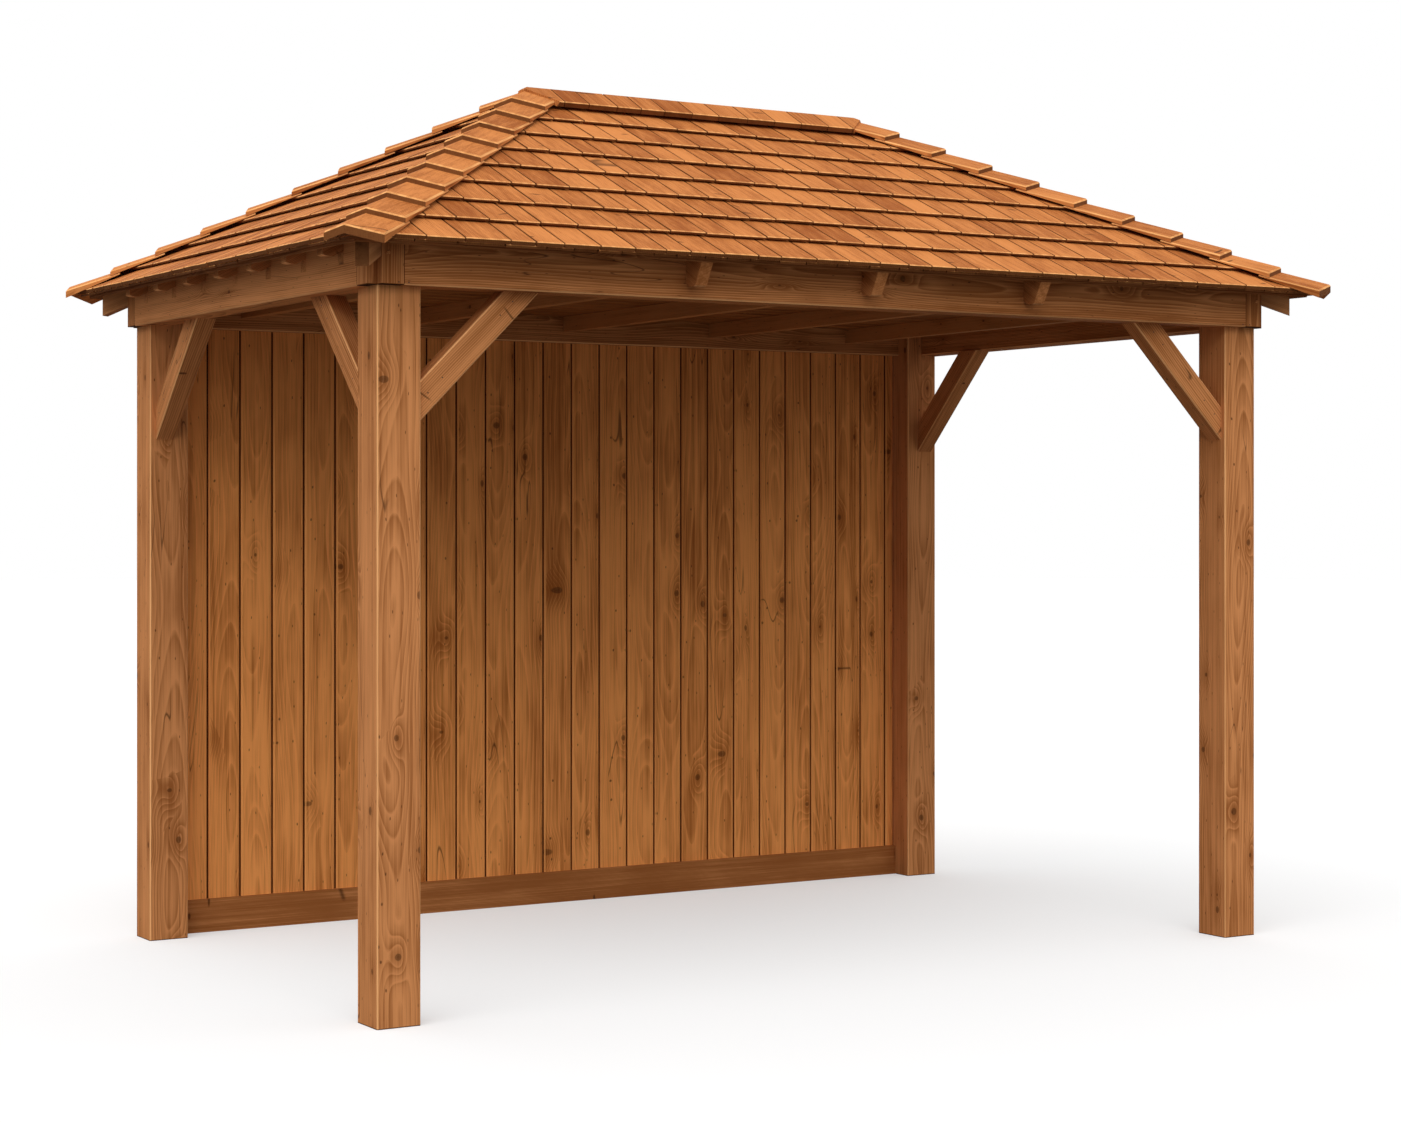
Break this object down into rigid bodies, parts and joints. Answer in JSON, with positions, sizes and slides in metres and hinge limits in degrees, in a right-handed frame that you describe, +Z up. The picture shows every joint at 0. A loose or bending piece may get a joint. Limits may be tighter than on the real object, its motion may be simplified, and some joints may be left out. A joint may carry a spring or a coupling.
{
  "type": "cedar gazebo",
  "caption": "Open cedar gazebo: square posts with knee braces, a boarded back wall, a boarded ceiling and a hipped shingle roof with stepped hip and ridge caps",
  "frame": {"origin": "centre of the footprint on the ground, under the middle of the roof", "axes": "+X along the long side to the right of someone who faces the open front, +Y from the open front to the boarded back wall, +Z up"},
  "size_m": [4.1292, 2.706, 3.1791],
  "materials": {
    "frame_timber": "planed cedar, matt oiled",
    "wall_timber": "planed cedar boards, matt",
    "roof_timber": "planed cedar, matt",
    "cedar_shingle": "new sawn cedar, matt"
  },
  "bodies": {
    "root": {"beam_back": "frame_timber", "beam_front": "frame_timber", "beam_left": "frame_timber", "beam_right": "frame_timber", "brace_front_left": "frame_timber", "brace_front_right": "frame_timber", "brace_left_back": "frame_timber", "brace_left_front": "frame_timber", "brace_right_back": "frame_timber", "ceiling_boards": "roof_timber", "ceiling_joists": "roof_timber", "common_rafters_back": "roof_timber", "common_rafters_front": "roof_timber", "corner_block_back_left": "frame_timber", "corner_block_back_right": "frame_timber", "corner_block_front_left": "frame_timber", "corner_block_front_right": "frame_timber", "deck_back": "roof_timber", "deck_front": "roof_timber", "deck_left": "roof_timber", "deck_right": "roof_timber", "end_rafters_left": "roof_timber", "end_rafters_right": "roof_timber", "hip_cap_back_left": "cedar_shingle", "hip_cap_back_right": "cedar_shingle", "hip_cap_front_left": "cedar_shingle", "hip_cap_front_right": "cedar_shingle", "hip_rafter_back_left": "roof_timber", "hip_rafter_back_right": "roof_timber", "hip_rafter_front_left": "roof_timber", "hip_rafter_front_right": "roof_timber", "post_back_left": "frame_timber", "post_back_right": "frame_timber", "post_front_left": "frame_timber", "post_front_right": "frame_timber", "ridge_board": "roof_timber", "ridge_cap": "cedar_shingle", "shingles_back": "cedar_shingle", "shingles_front": "cedar_shingle", "shingles_left": "cedar_shingle", "shingles_right": "cedar_shingle", "wall_boards": "wall_timber", "wall_sill": "wall_timber"}
  },
  "joints": []
}
